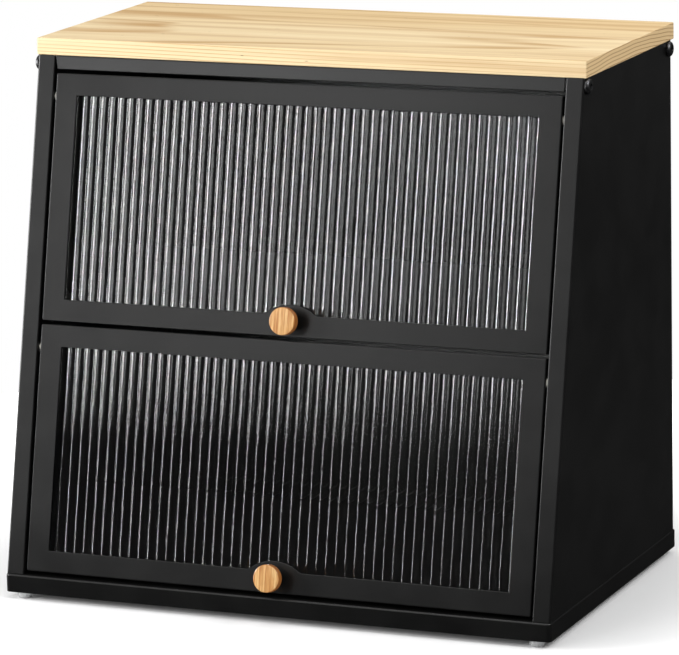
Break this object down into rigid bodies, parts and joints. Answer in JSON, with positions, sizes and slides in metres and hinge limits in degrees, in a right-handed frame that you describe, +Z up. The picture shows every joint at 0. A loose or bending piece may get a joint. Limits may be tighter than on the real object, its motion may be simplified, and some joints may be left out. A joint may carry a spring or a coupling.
{
  "type": "bread box",
  "caption": "Two-tier bread box: a leaning-front steel cabinet with flip-up reeded-glass doors, round knobs and a wooden top board",
  "frame": {"origin": "on the surface that the feet stand on, under the middle of the whole box", "axes": "+X to the right as seen from the front, +Y to the back, +Z up"},
  "size_m": [0.3858, 0.2566, 0.3612],
  "materials": {
    "black_steel": "black powder coat, fine texture, satin",
    "pine": "pale straight-grained board, matt lacquer",
    "reeded_glass": "clear, with round upright flutes down its front",
    "bamboo": "warm tan with fine upright stripes, matt lacquer",
    "black_plastic": "black, fine matt",
    "black_tape": "black foam adhesive tape",
    "nylon": "black nylon",
    "catch_plastic": "black moulded plastic",
    "magnet": "nickel-plated magnet",
    "black_screws": "black oxide, satin",
    "zinc_plated_steel": "bright zinc plate",
    "clear_bumper": "clear soft polyurethane bumper"
  },
  "bodies": {
    "cabinet": {"back_left_foot": "clear_bumper", "back_panel": "black_steel", "back_right_foot": "clear_bumper", "back_screws": "black_screws", "base_tray": "black_steel", "board_screws": "zinc_plated_steel", "door_stop_studs": "zinc_plated_steel", "floor_panel": "black_steel", "front_left_foot": "clear_bumper", "front_right_foot": "clear_bumper", "hinge_nuts": "zinc_plated_steel", "left_side_panel": "black_steel", "lower_catch_magnets": "magnet", "lower_door_catches": "catch_plastic", "lower_left_hinge_pin": "zinc_plated_steel", "lower_right_hinge_pin": "zinc_plated_steel", "middle_shelf": "black_steel", "right_side_panel": "black_steel", "side_screw_nuts": "zinc_plated_steel", "side_screws": "black_screws", "top_panel": "black_steel", "upper_catch_magnets": "magnet", "upper_door_catches": "catch_plastic", "upper_left_hinge_pin": "zinc_plated_steel", "upper_right_hinge_pin": "zinc_plated_steel", "wood_top": "pine"},
    "upper_door": {"upper_door_frame": "black_steel", "upper_window": "reeded_glass", "upper_window_tape": "black_tape", "upper_knob": "bamboo", "upper_knob_stem": "black_plastic", "upper_knob_screw": "zinc_plated_steel", "upper_hinge_bushes": "nylon"},
    "lower_door": {"lower_door_frame": "black_steel", "lower_window": "reeded_glass", "lower_window_tape": "black_tape", "lower_knob": "bamboo", "lower_knob_stem": "black_plastic", "lower_knob_screw": "zinc_plated_steel", "lower_hinge_bushes": "nylon"}
  },
  "joints": [
    {"name": "upper_door_hinge", "type": "hinge", "parent": "cabinet", "child": "upper_door", "pos_m": [0, -0.04451, 0.32315], "axis": [-1, 0, 0], "range_deg": [0, 95]},
    {"name": "lower_door_hinge", "type": "hinge", "parent": "cabinet", "child": "lower_door", "pos_m": [0, -0.07993, 0.16205], "axis": [-1, 0, 0], "range_deg": [0, 95]}
  ]
}
